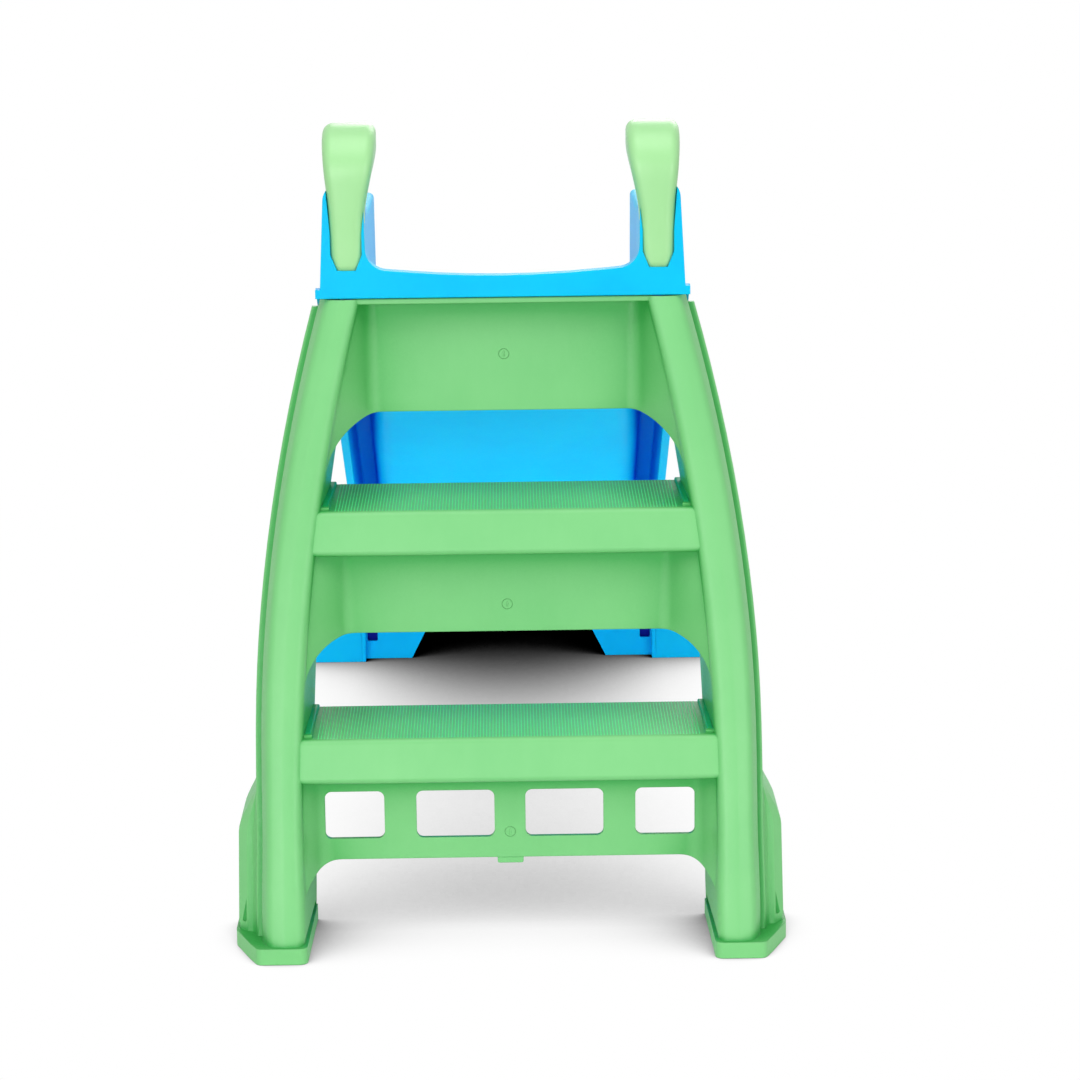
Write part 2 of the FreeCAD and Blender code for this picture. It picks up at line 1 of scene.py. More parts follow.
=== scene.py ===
import bpy
import bmesh
import math
from mathutils import Matrix, Vector


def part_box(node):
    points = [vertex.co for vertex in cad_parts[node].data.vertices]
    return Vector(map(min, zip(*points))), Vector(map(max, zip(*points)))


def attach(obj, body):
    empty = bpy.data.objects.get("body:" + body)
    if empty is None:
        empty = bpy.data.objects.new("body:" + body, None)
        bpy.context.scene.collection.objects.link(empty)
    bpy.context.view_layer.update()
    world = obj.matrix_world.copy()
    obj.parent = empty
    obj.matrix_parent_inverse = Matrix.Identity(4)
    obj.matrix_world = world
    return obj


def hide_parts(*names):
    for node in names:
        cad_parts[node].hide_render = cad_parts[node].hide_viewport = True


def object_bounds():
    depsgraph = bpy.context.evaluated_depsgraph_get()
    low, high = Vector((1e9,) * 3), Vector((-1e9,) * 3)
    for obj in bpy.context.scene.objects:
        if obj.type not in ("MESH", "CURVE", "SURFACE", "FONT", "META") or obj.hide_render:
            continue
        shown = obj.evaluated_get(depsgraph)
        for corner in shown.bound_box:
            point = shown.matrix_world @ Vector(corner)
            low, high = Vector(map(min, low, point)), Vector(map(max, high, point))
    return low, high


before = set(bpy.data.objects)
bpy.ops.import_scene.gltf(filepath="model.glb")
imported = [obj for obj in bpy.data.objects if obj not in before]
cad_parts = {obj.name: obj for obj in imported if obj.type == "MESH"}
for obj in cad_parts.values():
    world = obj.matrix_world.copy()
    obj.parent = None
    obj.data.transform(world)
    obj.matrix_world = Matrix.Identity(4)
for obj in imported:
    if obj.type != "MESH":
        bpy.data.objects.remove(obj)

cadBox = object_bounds()
low, high = cadBox
scene = bpy.context.scene
scene.view_settings.view_transform = "Standard"


def linearColour(hexText):
    parts = [int(hexText[i:i + 2], 16) / 255 for i in (1, 3, 5)]
    return [c / 12.92 if c <= 0.04045 else ((c + 0.055) / 1.055) ** 2.4 for c in parts] + [1.0]


def addNode(tree, kind, settings=None, links=()):
    node = tree.nodes.new("ShaderNode" + kind)
    for name, value in (settings or {}).items():
        if name in node.inputs:
            node.inputs[name].default_value = value
        else:
            setattr(node, name, value)
    for source, output, target in links:
        tree.links.new(source.outputs[output], node.inputs[target])
    return node


def newMaterial(name):
    material = bpy.data.materials.new(name)
    material.use_nodes = True
    material.node_tree.nodes.clear()
    return material, material.node_tree


def perMetre(millimetres):
    return 1000.0 / millimetres


# Moulded polyethylene or polypropylene: a waxy, slightly cloudy colour, a fine grain from the
# mould's sandblasted face, faint flow streaks, and a broad soft highlight that never turns sharp.
# Its corners and recesses also get painted shade, a deeper colour mixed in where they are closed in.
def mouldedPlastic(name, look):
    material, tree = newMaterial(name)
    place = addNode(tree, "TexCoord")
    clouds = addNode(tree, "TexNoise",
                     {"Scale": perMetre(look["cloudSize"]), "Detail": 3.0, "Roughness": 0.55},
                     [(place, "Object", "Vector")])
    streakPlace = addNode(tree, "Mapping", {"Scale": look["streakStretch"]}, [(place, "Object", "Vector")])
    streaks = addNode(tree, "TexNoise",
                      {"Scale": perMetre(look["streakSize"]), "Detail": 4.0, "Roughness": 0.6},
                      [(streakPlace, "Vector", "Vector")])
    cloudShare = addNode(tree, "MapRange",
                         {"From Min": 0.35, "From Max": 0.65, "To Min": 0.0, "To Max": look["cloudShare"]},
                         [(clouds, "Fac", "Value")])
    streakShare = addNode(tree, "MapRange",
                          {"From Min": 0.4, "From Max": 0.7, "To Min": 0.0, "To Max": look["streakShare"]},
                          [(streaks, "Fac", "Value")])
    cloudy = addNode(tree, "MixRGB",
                     {"Color1": linearColour(look["colour"]), "Color2": linearColour(look["deeper"])},
                     [(cloudShare, "Result", "Fac")])
    streaky = addNode(tree, "MixRGB", {"Color2": linearColour(look["paler"])},
                      [(streakShare, "Result", "Fac"), (cloudy, "Color", "Color1")])
    grain = addNode(tree, "TexNoise",
                    {"Scale": perMetre(look["grainSize"]), "Detail": 2.0, "Roughness": 0.5},
                    [(place, "Object", "Vector")])
    ripple = addNode(tree, "TexNoise", {"Scale": perMetre(look["rippleSize"]), "Detail": 1.0},
                     [(place, "Object", "Vector")])
    edges = addNode(tree, "Bevel", {"samples": 4, "Radius": look["edgeRadius"]})
    sink = addNode(tree, "Bump", {"Strength": look["rippleStrength"], "Distance": look["rippleHigh"]},
                   [(ripple, "Fac", "Height"), (edges, "Normal", "Normal")])
    bump = addNode(tree, "Bump", {"Strength": look["grainStrength"], "Distance": look["grainHigh"]},
                   [(grain, "Fac", "Height"), (sink, "Normal", "Normal")])
    rough = addNode(tree, "MapRange",
                    {"From Min": 0.3, "From Max": 0.7,
                     "To Min": look["roughLow"], "To Max": look["roughHigh"]},
                    [(grain, "Fac", "Value")])
    # painted shade: where the occlusion node finds a corner or recess closed in, the colour is mixed
    # towards the deeper "corner" colour
    corners = addNode(tree, "AmbientOcclusion",
                      {"samples": 16, "Distance": look["paintedShadeReach"], "only_local": look["paintedShadeLocal"]})
    paintedShadeShare = addNode(tree, "MapRange",
                          {"From Min": look["paintedShadeFrom"], "From Max": look["paintedShadeTo"],
                           "To Min": look["paintedShadeShare"], "To Max": 0.0},
                          [(corners, "AO", "Value")])
    # the colour with the painted shade of the corners mixed in
    moulded = addNode(tree, "MixRGB", {"Color2": linearColour(look["corner"])},
                      [(paintedShadeShare, "Result", "Fac"), (streaky, "Color", "Color1")])
    shader = addNode(tree, "BsdfPrincipled",
                     {"IOR": look["ior"], "Specular IOR Level": look["specular"],
                      "Subsurface Weight": look["soak"], "Subsurface Radius": look["soakReach"],
                      "Subsurface Scale": 0.001},
                     [(moulded, "Color", "Base Color"), (rough, "Result", "Roughness"),
                      (bump, "Normal", "Normal")])
    addNode(tree, "OutputMaterial", None, [(shader, "BSDF", "Surface")])
    return material


# What every moulding here shares. Sizes of patterns and "soakReach" are in millimetres, and the
# other reaches, heights and radii in metres. The real grain is about 0.4 mm, drawn at 1.6 mm so
# that it shows.
mouldedLook = {
    "ior": 1.51, "specular": 0.5, "roughLow": 0.36, "roughHigh": 0.50,
    "cloudSize": 70, "cloudShare": 0.6,
    "streakSize": 9, "streakShare": 0.12, "streakStretch": (1.0, 1.0, 0.25),
    "grainSize": 1.6, "grainStrength": 0.10, "grainHigh": 0.0002,
    "rippleSize": 45, "rippleStrength": 0.05, "rippleHigh": 0.0012, "edgeRadius": 0.001,
    # painted shade: "corner" is the deeper colour mixed into corners and recesses, over the reach and
    # occlusion range that follow
    "corner": "#36A64A", "paintedShadeReach": 0.07, "paintedShadeFrom": 0.70, "paintedShadeTo": 0.95,
    "paintedShadeShare": 1.0, "paintedShadeLocal": True,
    "soak": 0.0, "soakReach": (1.0, 2.0, 1.0),
}
# the ladder: a satin mid green, with painted shade, a deeper green, where panel and rail meet
ladderLook = dict(mouldedLook, colour="#7ACC7E", deeper="#72C678", paler="#84D288")
# the handrails: paler, with a smoother and slightly glossier skin, and a lighter green as painted shade in
# their corners
handrailLook = dict(mouldedLook, colour="#A4E09B", deeper="#9CDB92", paler="#B0E6A8", grainStrength=0.07,
                    roughLow=0.30, roughHigh=0.42, corner="#62BC5C")
# the chute: its thin wall soaks up light and glows, so that even shaded faces are a clean blue; painted
# shade turns its channels and corners a darker blue
chuteLook = dict(mouldedLook, colour="#04CAFF", deeper="#00BEFC", paler="#10D2FF", specular=0.1,
                 roughLow=0.34, roughHigh=0.44, streakStretch=(1.0, 0.25, 1.0), grainStrength=0.03,
                 corner="#0470E6", paintedShadeReach=0.06, paintedShadeFrom=0.15, paintedShadeTo=0.6, paintedShadeShare=0.9,
                 soak=0.4, soakReach=(0.5, 4.0, 6.0))
# the ribs on the treads: rougher, with crisp edges so that they keep their shape. Their green is painted
# light, a brighter and more saturated copy of the ladder's that lifts the dim tread tops, and their painted
# shade counts the parts around them too
ribPlasticLook = dict(mouldedLook, colour="#6EF594", deeper="#64EC8A", paler="#78F89C",
                      roughLow=0.46, roughHigh=0.6, corner="#4CD87C", edgeRadius=0.0002,
                      paintedShadeFrom=0.2, paintedShadeLocal=False)
# the kerbs: painted shade, a deeper green than the ladder's, seen only as a thin line along each end of a
# tread
kerbShadeLook = dict(mouldedLook, colour="#12B060", deeper="#0CA858", paler="#20B86A", corner="#049A4C")
# the gate marks: the ladder's own green with little painted shade, or the thin ring would turn dark
gatePlasticLook = dict(ladderLook, paintedShadeShare=0.15)
# painted shade: the inside of the hollow low end, in a dark blue that stands for the chute's blue with no
# light behind it
hollowShadeLook = dict(chuteLook, colour="#0A22A8", deeper="#081C9C", paler="#0C28B4", soak=0.0,
                         paintedShadeShare=0.0)

ladderPlastic = mouldedPlastic("blow-moulded polyethylene, mid green", ladderLook)
handrailPlastic = mouldedPlastic("injection-moulded polypropylene, light green", handrailLook)
chutePlastic = mouldedPlastic("blow-moulded polyethylene, sky blue", chuteLook)
ribPlastic = mouldedPlastic("ribbed polyethylene tread, green", ribPlasticLook)
gatePlastic = mouldedPlastic("blow-moulded polyethylene at a gate, mid green", gatePlasticLook)
kerbShadePlastic = mouldedPlastic("smooth polyethylene kerb, painted shade deep green", kerbShadeLook)
hollowShadePlastic = mouldedPlastic("blow-moulded polyethylene in shade, deep blue", hollowShadeLook)
print("materials made")

finishOf = {
    "slide": chutePlastic, "ladder": ladderPlastic,
    "left_handrail": handrailPlastic, "right_handrail": handrailPlastic,
    "left_handrail_pin": chutePlastic, "right_handrail_pin": chutePlastic,
    "left_ladder_pin": ladderPlastic, "right_ladder_pin": ladderPlastic,
    "left_ladder_pin_ring": ladderPlastic, "right_ladder_pin_ring": ladderPlastic,
}
edgeLook = {"creaseDegrees": 32, "weld": 0.00002}


# a smooth moulding: edges sharper than the crease angle stay sharp, everything flatter is shaded round
def smoothGroup(creaseDegrees, weldDistance):
    group = bpy.data.node_groups.new("smoothMoulding", "GeometryNodeTree")
    group.interface.new_socket("Geometry", in_out="INPUT", socket_type="NodeSocketGeometry")
    group.interface.new_socket("Geometry", in_out="OUTPUT", socket_type="NodeSocketGeometry")
    make = group.nodes.new
    source, result = make("NodeGroupInput"), make("NodeGroupOutput")
    weld = make("GeometryNodeMergeByDistance")
    weld.inputs["Distance"].default_value = weldDistance
    angle, crease = make("GeometryNodeInputMeshEdgeAngle"), make("FunctionNodeCompare")
    crease.operation = "GREATER_THAN"
    crease.inputs[1].default_value = math.radians(creaseDegrees)
    sharp, smooth = make("GeometryNodeSetShadeSmooth"), make("GeometryNodeSetShadeSmooth")
    sharp.domain = "EDGE"
    sharp.inputs["Shade Smooth"].default_value = False
    smooth.inputs["Shade Smooth"].default_value = True
    group.links.new(source.outputs[0], weld.inputs["Geometry"])
    group.links.new(weld.outputs["Geometry"], smooth.inputs["Geometry"])
    group.links.new(angle.outputs["Unsigned Angle"], crease.inputs[0])
    group.links.new(crease.outputs["Result"], sharp.inputs["Selection"])
    group.links.new(smooth.outputs["Geometry"], sharp.inputs["Geometry"])
    group.links.new(sharp.outputs["Geometry"], result.inputs[0])
    return group


smoothMoulding = smoothGroup(edgeLook["creaseDegrees"], edgeLook["weld"])
for name, material in finishOf.items():
    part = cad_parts[name]
    part.data.materials.clear()
    part.data.materials.append(material)
    shade = part.modifiers.new("smoothMoulding", "NODES")
    shade.node_group = smoothMoulding
print("carried-over parts finished")


def addPiece(name, mesh, material, body):
    piece = bpy.data.objects.new(name, mesh)
    piece.data.materials.append(material)
    scene.collection.objects.link(piece)
    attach(piece, body)
    return piece


# walls between neighbouring rows of points, and a face on each end
def skinRows(bm, rows):
    for near, far in zip(rows, rows[1:]):
        for k in range(len(near)):
            following = (k + 1) % len(near)
            bm.faces.new((near[k], near[following], far[following], far[k]))
    bm.faces.new(list(reversed(rows[0])))
    bm.faces.new(rows[-1])


def meshFrom(bm, name):
    bmesh.ops.recalc_face_normals(bm, faces=bm.faces)
    mesh = bpy.data.meshes.new(name)
    bm.to_mesh(mesh)
    bm.free()
    return mesh


# The band round each foot stands "footBand" in front of the rails, which lean back in a bow.
railLook = {"footBand": 0.0016, "lean": 0.150, "tall": 0.458, "bow": 1.2}
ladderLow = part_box("ladder")[0]
ladderFront = ladderLow.y + railLook["footBand"]
footDrop = ladderLow.z


# where the rail's front stands at a height
def railFront(height):
    return ladderFront + railLook["lean"] * (height / railLook["tall"]) ** railLook["bow"]


# "top" is a tread's height and "end" where it meets the rail. Its ribbed field is "half" to
# each side of the middle, and runs from "from" to "to" behind the rail's front.
treads = {
    "lowerTread": {"top": 0.1545, "end": 0.1476, "half": 0.139, "from": 0.006, "to": 0.0885},
    "upperTread": {"top": 0.311, "end": 0.1338, "half": 0.126, "from": 0.006, "to": 0.0965},
}
# fine ribs that run from front to back on the treads and give a wet shoe its grip
ribLook = {"pitch": 0.0023, "wide": 0.0011, "high": 0.00032, "taper": 0.0003, "ramp": 0.002, "sunk": 0.0002}


def ribMesh(name, tread, look):
    bm = bmesh.new()
    count = int(tread["half"] / look["pitch"])
    front = railFront(tread["top"]) + tread["from"]
    back = railFront(tread["top"]) + tread["to"]
    base = footDrop + tread["top"]
    sole = base - look["sunk"]
    foot = look["wide"] / 2
    for step in range(-count, count + 1):
        middle = step * look["pitch"]
        rows = []
        for y, end in ((front, 0.0), (front + look["ramp"], 1.0), (back - look["ramp"], 1.0), (back, 0.0)):
            crown = foot - look["taper"] * end
            top = base + look["high"] * end
            rows.append([bm.verts.new((middle + x, y, z))
                         for x, z in ((-foot, sole), (-crown, top), (crown, top), (foot, sole))])
        skinRows(bm, rows)
    return meshFrom(bm, name)


# A low smooth kerb closes each end of a tread against its rail. It widens from front to back,
# rises in a short ramp, drops again at the back, and its inner top edge is rounded.
kerbLook = {"wide": (0.0040, 0.0062), "high": 0.0024, "from": 0.010, "ramp": 0.004, "drop": 0.002,
            "frontShare": 0.3, "backShare": 0.6, "round": 0.001, "roundFrom": 0.5, "rounds": 5,
            "sunk": 0.0005}


def kerbMesh(name, side, tread, look):
    bm = bmesh.new()
    front = railFront(tread["top"]) + look["from"]
    back = railFront(tread["top"]) + tread["to"]
    base = footDrop + tread["top"]
    frontWide, backWide = look["wide"]
    rows = []
    for y, wide, high in ((front, frontWide, look["high"] * look["frontShare"]),
                          (front + look["ramp"], frontWide, look["high"]),
                          (back - look["drop"], backWide, look["high"]),
                          (back, backWide, look["high"] * look["backShare"])):
        inner = tread["end"] - wide
        row = [(inner, base - look["sunk"])]
        for step in range(look["rounds"]):
            lean = math.pi / 2 * step / (look["rounds"] - 1)
            row.append((inner + look["round"] - look["round"] * math.cos(lean),
                        base + high * (look["roundFrom"] + (1 - look["roundFrom"]) * math.sin(lean))))
        row += [(tread["end"], base + high), (tread["end"], base - look["sunk"])]
        rows.append([bm.verts.new((side * x, y, z)) for x, z in row])
    skinRows(bm, rows)
    return meshFrom(bm, name)


for name, tread in treads.items():
    for word, side in (("Left", -1), ("Right", 1)):
        kerb = name + word + "Kerb"
        # each kerb's deeper green is painted shade
        addPiece(kerb, kerbMesh(kerb, side, tread, kerbLook), kerbShadePlastic, "ladder")
    addPiece(name + "Ribs", ribMesh(name, tread, ribLook), ribPlastic, "ladder")
print("anti-slip ribs and kerbs laid")


# Each riser shows the round mark of a moulding gate: a low flattened ring with a nib in its middle.
gateLook = {"ring": 0.0038, "wire": 0.00028, "flat": 0.6, "around": 28, "tube": 8,
            "nib": (0.0007, 0.0022), "rise": 0.0005, "shoulder": 0.6, "tipShare": 0.5, "nibSteps": 6,
            "sunk": 0.0001}
# how far behind the feet and how high each mark sits
gateMarks = {"topRiser": (0.170, 0.413), "middleRiser": (0.106, 0.238), "lowestRiser": (0.050, 0.081)}


def gateMesh(name, look):
    bm = bmesh.new()
    around, tube, nibSteps = look["around"], look["tube"], look["nibSteps"]
    loops = []
    for k in range(around):
        turn = 2 * math.pi * k / around
        loop = []
        for j in range(tube):
            lean = 2 * math.pi * j / tube
            reach = look["ring"] + look["wire"] * math.cos(lean)
            proud = -look["wire"] * look["flat"] * math.sin(lean)
            loop.append(bm.verts.new((reach * math.cos(turn), proud, reach * math.sin(turn))))
        loops.append(loop)
    for k in range(around):
        here, following = loops[k], loops[(k + 1) % around]
        for j in range(tube):
            bm.faces.new((here[j], here[(j + 1) % tube], following[(j + 1) % tube], following[j]))
    half, tall = look["nib"]
    shoulder = tall * look["shoulder"]
    rows = []
    tip = look["tipShare"]
    for z, share in ((-tall, tip), (-shoulder, 1.0), (shoulder, 1.0), (tall, tip)):
        row = []
        for j in range(nibSteps + 1):
            turn = math.pi * j / nibSteps
            proud = -look["rise"] * share * math.sin(turn)
            row.append(bm.verts.new((half * share * math.cos(turn), proud, z)))
        rows.append(row)
    for near, far in zip(rows, rows[1:]):
        for j in range(nibSteps):
            bm.faces.new((near[j], near[j + 1], far[j + 1], far[j]))
    mesh = meshFrom(bm, name)
    for face in mesh.polygons:
        face.use_smooth = True
    return mesh


for name, (behind, height) in gateMarks.items():
    mark = addPiece(name + "GateMark", gateMesh(name, gateLook), gatePlastic, "ladder")
    mark.location = (0.0, ladderFront + behind - gateLook["sunk"], footDrop + height)
print("gate marks set")


# The bar of each handrail: a tapered leg, a tight bend, a broad crown that falls away and
# narrows at once, and a round end at the cross pin. "leg", "legTop", "crown" and "low" are the
# bar's inner and outer sides from the middle of the slide; the swell and the narrowing start
# and end at shares of the bar's length.
barLook = {
    "thick": 0.025, "corner": 0.0075,
    "legFoot": (0.163, 0.480), "lean": 0.062, "bend": 0.022,
    "fall": 0.25, "crownEnd": 0.262, "lowBend": 0.062,
    "eye": (0.318, 0.497), "eyeRadius": 0.012, "eyeFrom": 0.7, "eyeTurns": (20, 40, 58, 73, 84),
    "leg": (0.1020, 0.1260), "legTop": (0.0985, 0.1268), "crown": (0.0914, 0.1305), "low": (0.107, 0.122),
    "legShare": 0.3, "swellFrom": 0.14, "swellTo": 0.36, "narrowFrom": 0.38, "narrowTo": 0.62,
    "tip": 0.009, "taper": 0.0034, "tipCorner": 0.6, "cornerMost": 0.95,
    "legSteps": 15, "bendSteps": 16, "crownSteps": 12, "lowSteps": 10, "endSteps": 8, "cornerSteps": 6,
}


def soften(value, start, finish):
    share = min(1.0, max(0.0, (value - start) / (finish - start)))
    return share * share * (3 - 2 * share)


# centre line as (distance behind the feet, height, direction), from the foot of the leg to the eye
def barLine(look, top):
    footD, footZ = look["legFoot"]
    lean, fall, bend = look["lean"], look["fall"], look["bend"]
    centreZ = top - look["thick"] / 2 - bend
    centreD = footD - lean * (centreZ - footZ) + bend * math.hypot(1, lean)
    legTurn = math.pi / 2 + math.atan(lean)
    crownTurn = -math.atan(fall)
    line = []
    bendD = centreD + bend * math.cos(legTurn + math.pi / 2)
    bendZ = centreZ + bend * math.sin(legTurn + math.pi / 2)
    for step in range(look["legSteps"]):
        share = step / look["legSteps"]
        line.append((footD + (bendD - footD) * share, footZ + (bendZ - footZ) * share, legTurn))
    for step in range(look["bendSteps"] + 1):
        turn = legTurn + (crownTurn - legTurn) * step / look["bendSteps"]
        line.append((centreD - bend * math.sin(turn), centreZ + bend * math.cos(turn), turn))
    crownD, crownZ = line[-1][:2]
    eyeD, eyeZ = look["eye"]
    # the low bend is the arc that leaves the crown's line and arrives on the straight run to the eye
    cornerD, cornerZ = look["crownEnd"], crownZ - fall * (look["crownEnd"] - crownD)
    lowTurn = math.atan2(eyeZ - cornerZ, eyeD - cornerD)
    reach = look["lowBend"] * math.tan((crownTurn - lowTurn) / 2)
    arcD, arcZ = cornerD - reach * math.cos(crownTurn), cornerZ - reach * math.sin(crownTurn)
    for step in range(1, look["crownSteps"]):
        share = step / look["crownSteps"]
        line.append((crownD + (arcD - crownD) * share, crownZ + (arcZ - crownZ) * share, crownTurn))
    middleD = arcD + look["lowBend"] * math.sin(crownTurn)
    middleZ = arcZ - look["lowBend"] * math.cos(crownTurn)
    for step in range(look["lowSteps"] + 1):
        turn = crownTurn + (lowTurn - crownTurn) * step / look["lowSteps"]
        line.append((middleD - look["lowBend"] * math.sin(turn),
                     middleZ + look["lowBend"] * math.cos(turn), turn))
    endD, endZ = line[-1][:2]
    for step in range(1, look["endSteps"] + 1):
        share = step / look["endSteps"]
        line.append((endD + (eyeD - endD) * share, endZ + (eyeZ - endZ) * share, lowTurn))
    return line


# rounded rectangle as (across, along the thickness); its corners never fill a whole side
def barSection(inner, outer, half, corner, look):
    corner = min(corner, (outer - inner) / 2 * look["cornerMost"], half * look["cornerMost"])
    ring = []
    for cx, cy, first in ((outer - corner, half - corner, 0), (inner + corner, half - corner, 90),
                          (inner + corner, -half + corner, 180), (outer - corner, -half + corner, 270)):
        for step in range(look["cornerSteps"] + 1):
            turn = math.radians(first + 90 * step / look["cornerSteps"])
            ring.append((cx + corner * math.cos(turn), cy + corner * math.sin(turn)))
    return ring


def barMesh(name, side, look):
    line = barLine(look, high.z - footDrop)
    lengths = [0.0]
    for (d0, z0, _), (d1, z1, _) in zip(line, line[1:]):
        lengths.append(lengths[-1] + math.hypot(d1 - d0, z1 - z0))
    bm = bmesh.new()
    loops = []
    for (d, z, turn), reach in zip(line, lengths):
        share = reach / lengths[-1]
        narrow = soften(share, look["narrowFrom"], look["narrowTo"])
        swell = soften(share, look["swellFrom"], look["swellTo"]) * (1 - narrow)
        rise = min(1.0, share / look["legShare"])
        inner, outer = (a + (b - a) * rise for a, b in zip(look["leg"], look["legTop"]))
        inner += (look["low"][0] - inner) * narrow
        outer += (look["low"][1] - outer) * narrow
        inner += (look["crown"][0] - inner) * swell
        outer += (look["crown"][1] - outer) * swell
        pinch = look["taper"] * max(0.0, 1 - reach / look["tip"])
        half = look["thick"] / 2
        half -= (half - look["eyeRadius"]) * soften(share, look["eyeFrom"], 1.0)
        corner = look["corner"] - pinch * look["tipCorner"]
        loops.append((d, z, turn, barSection(inner + pinch, outer - pinch, half, corner, look)))
    eyeD, eyeZ, eyeTurn, eyeRing = loops[-1]
    for degrees in look["eyeTurns"]:
        lift = look["eyeRadius"] * math.sin(math.radians(degrees))
        squeeze = math.cos(math.radians(degrees))
        loops.append((eyeD + lift * math.cos(eyeTurn), eyeZ + lift * math.sin(eyeTurn),
                      eyeTurn, [(x, t * squeeze) for x, t in eyeRing]))
    rings = []
    for d, z, turn, ring in loops:
        y, tall = ladderFront + d, footDrop + z
        rings.append([bm.verts.new((side * x, y - t * math.sin(turn), tall + t * math.cos(turn)))
                      for x, t in ring])
    skinRows(bm, rings)
    mesh = meshFrom(bm, name)
    for face in mesh.polygons:
        face.use_smooth = len(face.vertices) == 4
    return mesh


for word, side in (("left", -1), ("right", 1)):
    name = word + "HandrailBar"
    bar = addPiece(name, barMesh(name, side, barLook), handrailPlastic, "chute")
    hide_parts(word + "_handrail")
print("handrail bars swept")


# The small windows beside the foot pads look into the hollow low end, where the inner wall is deep in
# shade. Each gets a thin plate with rounded corners, "behind" the feet, a dark blue sheet of painted shade.
shadeSheetLook = {"side": 0.132, "behind": 0.812, "half": 0.0068, "low": 0.014, "high": 0.048,
               "thick": 0.0012, "corner": 0.003, "cornerSteps": 3}


def shadeSheetMesh(name, look):
    bm = bmesh.new()
    corner = look["corner"]
    right, top, bottom = look["half"] - corner, look["high"] - corner, look["low"] + corner
    rows = []
    for y in (0.0, look["thick"]):
        row = []
        for cx, cz, first in ((right, top, 0), (-right, top, 90),
                              (-right, bottom, 180), (right, bottom, 270)):
            for step in range(look["cornerSteps"] + 1):
                turn = math.radians(first + 90 * step / look["cornerSteps"])
                row.append(bm.verts.new((cx + corner * math.cos(turn), y, cz + corner * math.sin(turn))))
        rows.append(row)
    skinRows(bm, rows)
    return meshFrom(bm, name)


for word, side in (("left", -1), ("right", 1)):
    name = word + "HollowShadeSheet"
    shadeSheet = addPiece(name, shadeSheetMesh(name, shadeSheetLook), hollowShadePlastic, "chute")
    shadeSheet.location = (side * shadeSheetLook["side"], ladderFront + shadeSheetLook["behind"], footDrop)
print("hollow walls set")


stageLook = {"floor": "#F4F4F4", "reach": 1.5, "segments": 96, "below": 0.0002,
             "fadeFrom": 0.75, "fadeTo": 1.3, "shadeReach": 0.45, "shadeFrom": 0.10, "shadeTo": 0.74,
             "ambient": 0.32}


# The floor is matt white paper that fades out towards its rim, and lights the slide as such.
# Seen directly it is even white, with a painted shadow that darkens it only where the slide closes it in,
# so its shade stays soft and neutral.
def makeFloor(look):
    material, tree = newMaterial("white studio paper")
    place = addNode(tree, "TexCoord")
    distance = addNode(tree, "VectorMath", {"operation": "LENGTH"}, [(place, "Object", 0)])
    fade = addNode(tree, "MapRange", {"From Min": look["fadeFrom"], "From Max": look["fadeTo"]},
                   [(distance, "Value", "Value")])
    path = addNode(tree, "LightPath")
    paper = addNode(tree, "BsdfDiffuse", {"Color": linearColour(look["floor"])})
    # painted shadow: an occlusion node sets how bright the paper looks to the eye
    shade = addNode(tree, "AmbientOcclusion", {"samples": 48, "Distance": look["shadeReach"]})
    paintedShadow = addNode(tree, "MapRange",
                    {"interpolation_type": "SMOOTHSTEP",
                     "From Min": look["shadeFrom"], "From Max": look["shadeTo"]},
                    [(shade, "AO", "Value")])
    seen = addNode(tree, "Emission", {"Color": (1, 1, 1, 1)}, [(paintedShadow, "Result", "Strength")])
    lit = addNode(tree, "MixShader", None,
                  [(path, "Is Camera Ray", "Fac"), (paper, "BSDF", 1), (seen, "Emission", 2)])
    clear = addNode(tree, "BsdfTransparent")
    surface = addNode(tree, "MixShader", None,
                      [(fade, "Result", "Fac"), (lit, "Shader", 1), (clear, "BSDF", 2)])
    addNode(tree, "OutputMaterial", None, [(surface, "Shader", "Surface")])
    mesh = bpy.data.meshes.new("studioFloor")
    bm = bmesh.new()
    bmesh.ops.create_circle(bm, cap_ends=True, segments=look["segments"], radius=look["reach"])
    bm.to_mesh(mesh)
    bm.free()
    floor = bpy.data.objects.new("studioFloor", mesh)
    floor.location = ((low.x + high.x) / 2, (low.y + high.y) / 2, low.z - look["below"])
    floor.data.materials.append(material)
    scene.collection.objects.link(floor)


# plain white to the eye, in gloss and through the floor's rim, and a level light on the rest
def makeWorld(ambient):
    world = bpy.data.worlds.new("whiteStudio")
    world.use_nodes = True
    tree = world.node_tree
    tree.nodes.clear()
    path = addNode(tree, "LightPath")
    seen = addNode(tree, "Math", {"operation": "MAXIMUM"},
                   [(path, "Is Camera Ray", 0), (path, "Is Glossy Ray", 1)])
    seenToo = addNode(tree, "Math", {"operation": "MAXIMUM"},
                      [(seen, "Value", 0), (path, "Is Transmission Ray", 1)])
    strength = addNode(tree, "MapRange", {"To Min": ambient, "To Max": 1.0}, [(seenToo, "Value", "Value")])
    glow = addNode(tree, "Background", {"Color": (1, 1, 1, 1)}, [(strength, "Result", "Strength")])
    addNode(tree, "OutputWorld", None, [(glow, "Background", "Surface")])
    scene.world = world


middle = (low + high) / 2
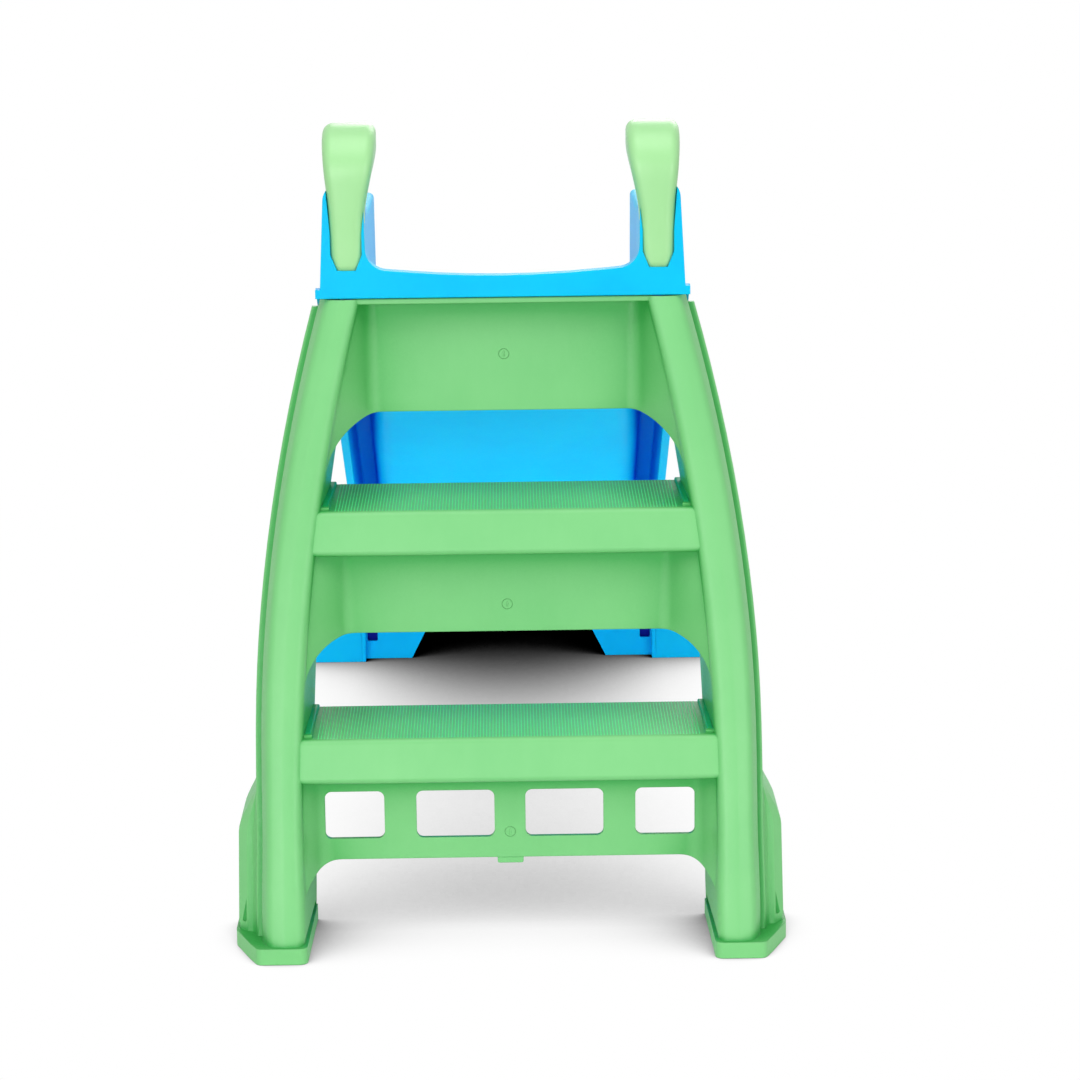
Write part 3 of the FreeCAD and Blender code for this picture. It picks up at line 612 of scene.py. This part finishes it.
# softboxes all round, and a bright card on the paper under the chute that lifts its hidden side
lamps = {
    "frontSoftbox": {"at": (-0.9, low.y - 1.9, 0.55), "aim": middle, "size": (1.6, 1.0), "watts": 22},
    "fillSoftbox": {"at": (1.3, low.y - 1.5, 0.5), "aim": middle, "size": (1.2, 0.9), "watts": 11.5},
    "overheadSoftbox": {"at": (0.0, low.y - 0.35, 2.1), "aim": middle, "size": (1.6, 1.4), "watts": 17},
    "rearSoftbox": {"at": (0.5, high.y + 1.5, 1.7), "aim": middle, "size": (1.8, 1.4), "watts": 26},
    "underCard": {"at": (0.0, 0.05, low.z + 0.02), "aim": (0.0, 0.03, 0.4), "size": (0.2, 0.55),
                  "watts": 0.48, "mirrored": False},
}


def makeLamp(name, look):
    data = bpy.data.lights.new(name, "AREA")
    data.shape = "RECTANGLE"
    data.size, data.size_y = look["size"]
    data.energy = look["watts"]
    lamp = bpy.data.objects.new(name, data)
    lamp.location = look["at"]
    lamp.rotation_euler = (Vector(look["aim"]) - Vector(look["at"])).to_track_quat("-Z", "Y").to_euler()
    lamp.visible_camera = False
    lamp.visible_glossy = look.get("mirrored", True)
    scene.collection.objects.link(lamp)


makeFloor(stageLook)
makeWorld(stageLook["ambient"])
for name, look in lamps.items():
    makeLamp(name, look)
print("studio made")


# The eye stands in front of the ladder, higher than the handrails, and looks down on the treads.
# Places are in metres, turns in degrees, and lens and sensor in millimetres.
cameraLook = {"side": 0.0034, "distance": 2.1089, "height": 0.8247,
              "yaw": 0.55, "pitch": 13.67, "roll": -0.66,
              "lens": 103.83, "sensor": 36.0, "near": 0.05, "far": 50.0}
eye = bpy.data.objects.new("eye", bpy.data.cameras.new("eye"))
eye.data.sensor_width = cameraLook["sensor"]
eye.data.lens = cameraLook["lens"]
eye.data.clip_start, eye.data.clip_end = cameraLook["near"], cameraLook["far"]
turn = Matrix.Rotation(-math.radians(cameraLook["yaw"]), 4, "Z")
tilt = Matrix.Rotation(math.pi / 2 - math.radians(cameraLook["pitch"]), 4, "X")
roll = Matrix.Rotation(math.radians(cameraLook["roll"]), 4, "Z")
stand = Matrix.Translation((cameraLook["side"], ladderFront - cameraLook["distance"],
                            low.z + cameraLook["height"]))
eye.matrix_world = stand @ turn @ tilt @ roll
scene.collection.objects.link(eye)
scene.camera = eye
print("camera placed")
